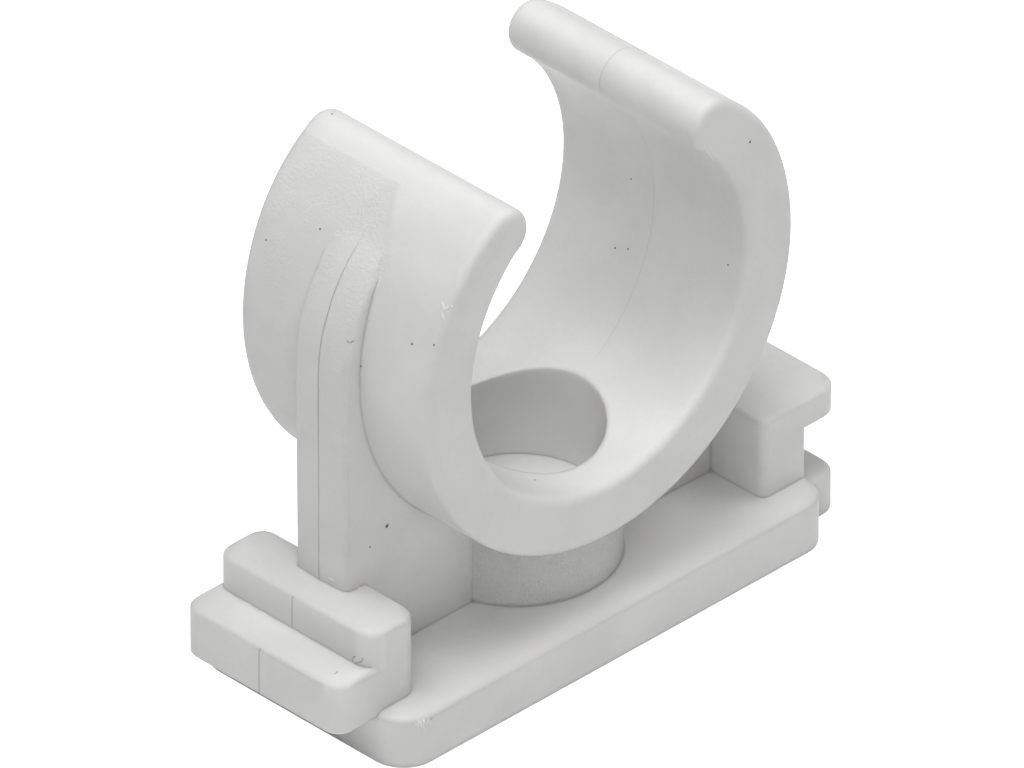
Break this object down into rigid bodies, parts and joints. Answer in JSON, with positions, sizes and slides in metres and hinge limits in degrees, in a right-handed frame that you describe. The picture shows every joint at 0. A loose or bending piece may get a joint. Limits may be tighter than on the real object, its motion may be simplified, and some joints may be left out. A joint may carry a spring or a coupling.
{
  "type": "pipe clip",
  "caption": "Snap-in pipe clip: an open ring on a central web and a hollow screw boss, over a flat foot with a tongue at one end and a groove at the other.",
  "frame": {"origin": "on the screw's axis, in the face that lies against the wall", "axes": "+Z away from the wall, +X towards the grooved end, the pipe along Y"},
  "size_m": [0.037, 0.0156, 0.0306],
  "materials": {
    "moulding": "matt, with a fine spark texture"
  },
  "bodies": {
    "root": {"pipe_clip": "moulding"}
  },
  "joints": []
}
